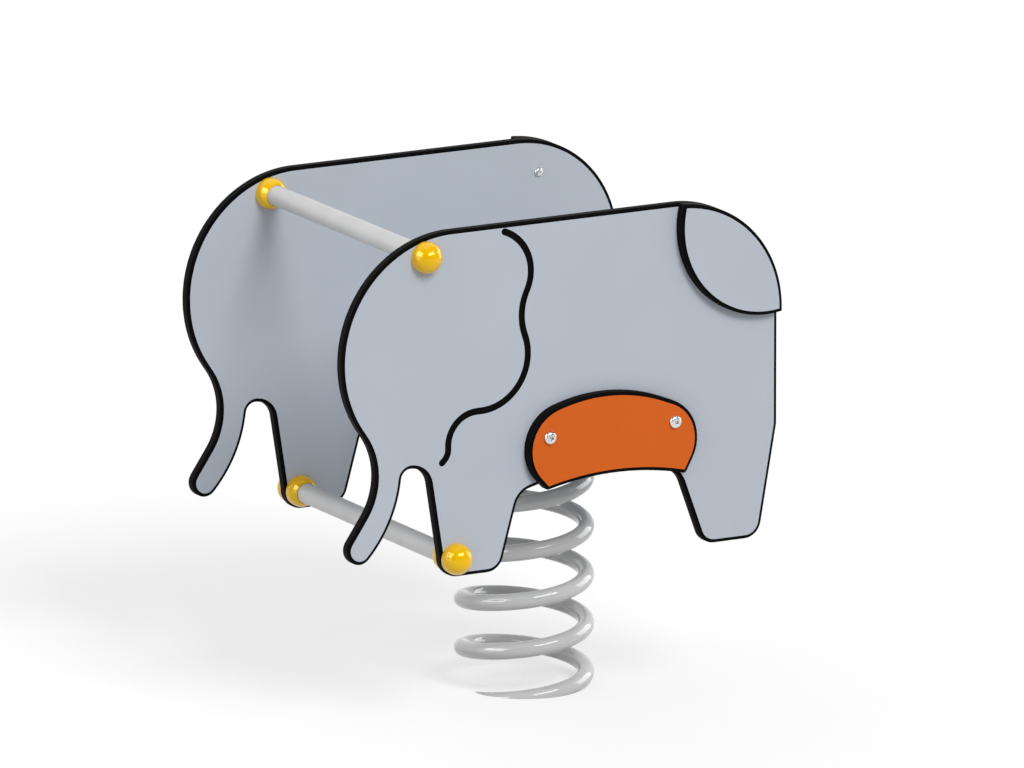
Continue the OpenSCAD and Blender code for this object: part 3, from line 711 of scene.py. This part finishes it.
def stand_spring():
    """The coil spring as a round wire wound turn by turn, cut in two at the seam."""
    low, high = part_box("coil_spring")
    bottom = low.z + WIRE_R
    top = high.z - WIRE_R
    end_flat = 1 - END_RAMP / 2 - (2 * WIRE_R + END_GAP) / PITCH
    end_turns = end_flat + END_RAMP / 2
    turns = (top - bottom) / PITCH + 2 * end_turns
    tip = math.radians(GROUND_ANGLE) - 2 * math.pi * ((GROUND - bottom) / PITCH + end_turns)

    def rise(n):
        """Height gained over n turns from an end."""
        if n < end_flat:
            return 0
        if n < end_flat + END_RAMP:
            return PITCH * (n - end_flat) ** 2 / (2 * END_RAMP)
        return PITCH * (n - end_turns)

    def height(n):
        return bottom + rise(n) if n < turns / 2 else top - rise(turns - n)

    bm = bmesh.new()
    turn_of = bm.verts.layers.float.new("turn")
    ring = bmesh.ops.create_circle(bm, radius=WIRE_R, segments=WIRE_SIDES)["verts"]
    upright = Matrix.Rotation(math.pi / 2, 4, "X")
    stand = Matrix.Rotation(tip, 4, "Z") @ Matrix.Translation((COIL_R, 0, bottom)) @ upright
    bmesh.ops.transform(bm, matrix=stand, verts=ring)
    first = list(bm.edges)
    geom = ring + first
    steps = math.ceil(turns * TURN_STEPS)
    for i in range(steps):
        lift = height(turns * (i + 1) / steps) - height(turns * i / steps)
        geom = bmesh.ops.spin(bm, geom=geom, cent=(0, 0, 0), axis=(0, 0, 1), dvec=(0, 0, lift),
                              angle=2 * math.pi * turns / steps, steps=1)["geom_last"]
        for vert in geom:
            if isinstance(vert, bmesh.types.BMVert):
                vert[turn_of] = turns * (i + 1) / steps
    last = [e for e in geom if isinstance(e, bmesh.types.BMEdge)]
    bmesh.ops.holes_fill(bm, edges=first + last)
    bmesh.ops.recalc_face_normals(bm, faces=bm.faces)
    bm.normal_update()

    # Both pieces keep the whole wire's normals, so that no line shows at the seam
    whole_normal = bm.verts.layers.float_vector.new("whole_normal")
    for vert in bm.verts:
        vert[whole_normal] = vert.normal
    seam = (SPRING_SEAM - bottom) / PITCH + end_turns
    pieces = []
    for name, keep in (("lower_spring", lambda n: n <= seam), ("upper_spring", lambda n: n > seam)):
        part = bm.copy()
        turn_in = part.verts.layers.float["turn"]
        normal_in = part.verts.layers.float_vector["whole_normal"]
        away = [f for f in part.faces if not keep(sum(v[turn_in] for v in f.verts) / len(f.verts))]
        bmesh.ops.delete(part, geom=away, context="FACES")
        bmesh.ops.holes_fill(part, edges=[e for e in part.edges if e.is_boundary])
        normals = [v[normal_in].copy() for v in part.verts]
        piece = show(name, part, [SPRING_COAT], ["coil_spring"],
                     body=None, smooth=WIRE_SMOOTH_ANGLE)
        piece.data.normals_split_custom_set_from_vertices(normals)
        pieces.append(piece)
    bm.free()
    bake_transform(pieces[0], "ground_anchor", "spring", start=(0, 0, GROUND), end=(0, 0, SPRING_SEAM))
    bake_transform(pieces[1], "spring", "rider", start=(0, 0, SPRING_SEAM), end=(0, 0, SPRING_TOP_BEND))


def white_room():
    """A pale floor at ground level that keeps the rider's shadow, in a white room."""
    scene = bpy.context.scene
    scene.view_settings.view_transform = "Standard"

    f = finish_named("pale_floor")
    passing = f.add("ShaderNodeBsdfDiffuse", None, {"Color": grey(FLOOR_BOUNCE)})
    matte = f.add("ShaderNodeBsdfDiffuse", None, {"Color": grey(FLOOR_SHADE)})
    glow = f.add("ShaderNodeEmission", None, {"Color": grey(1), "Strength": FLOOR_GLOW})
    shown = f.add("ShaderNodeAddShader", None, {0: matte, 1: glow})
    floor_shader = f.add("ShaderNodeMixShader", None, {0: f.seen(), 1: passing, 2: shown})
    f.add("ShaderNodeOutputMaterial", None, {"Surface": floor_shader})
    bm = bmesh.new()
    bmesh.ops.create_grid(bm, x_segments=1, y_segments=1, size=FLOOR_REACH)
    bmesh.ops.translate(bm, vec=(0, 0, GROUND), verts=bm.verts)
    staged("floor", bm, f.owner)

    world = bpy.data.worlds.new("white_room")
    scene.world = world
    f = Finish(world)
    white = f.add("ShaderNodeBackground", None, {"Color": grey(1), "Strength": 1.0})
    sky = f.add("ShaderNodeBackground", None, {"Color": grey(1), "Strength": SKY_LIGHT})
    room = f.add("ShaderNodeMixShader", None, {0: f.seen(), 1: sky, 2: white})
    f.add("ShaderNodeOutputWorld", None, {"Surface": room})


def dark_screen():
    """A dark screen behind the lamps, on the camera's side; only glossy surfaces show it."""
    f = finish_named("dark_screen")
    fold = f.noise(f.place((0.4, 0.4, 0.05)), 1.0)
    tone = f.mix(fold, grey(SCREEN_TONE * 0.8), grey(SCREEN_TONE * 1.2))
    glow = f.add("ShaderNodeEmission", None, {"Color": tone, "Strength": 1.0})
    f.add("ShaderNodeOutputMaterial", None, {"Surface": glow})
    bm = bmesh.new()
    post = [bm.verts.new((SCREEN_R, 0, GROUND + height)) for height in SCREEN_HEIGHTS]
    rail = bm.edges.new(post)
    first_turn = Matrix.Rotation(math.radians(SCREEN_START), 3, "Z")
    bmesh.ops.rotate(bm, verts=post, cent=(0, 0, 0), matrix=first_turn)
    bmesh.ops.spin(bm, geom=post + [rail], cent=(0, 0, 0), axis=(0, 0, 1),
                   angle=math.radians(SCREEN_TURN), steps=SCREEN_STEPS)
    screen = staged("dark_screen", bm, f.owner)
    screen.visible_camera = False
    screen.visible_diffuse = False
    screen.visible_transmission = False
    screen.visible_shadow = False


def look_back(thing, toward):
    """Turns a lamp or the camera, which stands in this direction, to the spot that it aims at."""
    thing.rotation_mode = "QUATERNION"
    thing.rotation_quaternion = (-toward).to_track_quat("-Z", "Y")


def stand_lamp(name, data, direction, distance):
    """Stands a lamp off in a direction, aimed at the rider."""
    toward = Vector(direction)
    lamp = placed(name, data)
    lamp.location = LIGHT_AIM + toward.normalized() * distance
    look_back(lamp, toward)
    return lamp


def broad_light(name, direction, strength, width):
    """Even light from far away, with soft shadows; the softboxes give its gloss."""
    data = bpy.data.lights.new(name, "SUN")
    data.energy = strength * math.pi
    data.angle = math.radians(width)
    stand_lamp(name, data, direction, BROAD_DISTANCE).visible_glossy = False


def softbox(name, direction, size, brightness):
    """A bright rectangle that only shows in glossy surfaces."""
    data = bpy.data.lights.new(name, "AREA")
    data.shape = "RECTANGLE"
    data.size, data.size_y = size
    data.energy = brightness * math.pi * size[0] * size[1]
    stand_lamp(name, data, direction, SOFTBOX_DISTANCE).visible_diffuse = False


def stand_camera():
    """The camera, which sees the rider as the photograph does."""
    toward = Vector((math.cos(CAMERA_RISE) * math.sin(CAMERA_SIDE),
                     math.cos(CAMERA_RISE) * math.cos(CAMERA_SIDE), math.sin(CAMERA_RISE)))
    data = bpy.data.cameras.new("camera")
    data.sensor_width = SENSOR_WIDTH_MM
    data.lens = CAMERA_FOCUS_PX * SENSOR_WIDTH_MM / PHOTO_WIDTH_PX
    data.clip_start, data.clip_end = CAMERA_CLIP
    camera = placed("camera", data)
    camera.location = CAMERA_AIM + toward * CAMERA_DISTANCE
    look_back(camera, toward)
    bpy.context.scene.camera = camera


dress_sheets()
dress_bars()
dress_bolts()
dress_metal()
stand_spring()
white_room()
dark_screen()
for light in BROAD_LIGHTS:
    broad_light(*light)
for light in SOFTBOXES:
    softbox(*light)
stand_camera()
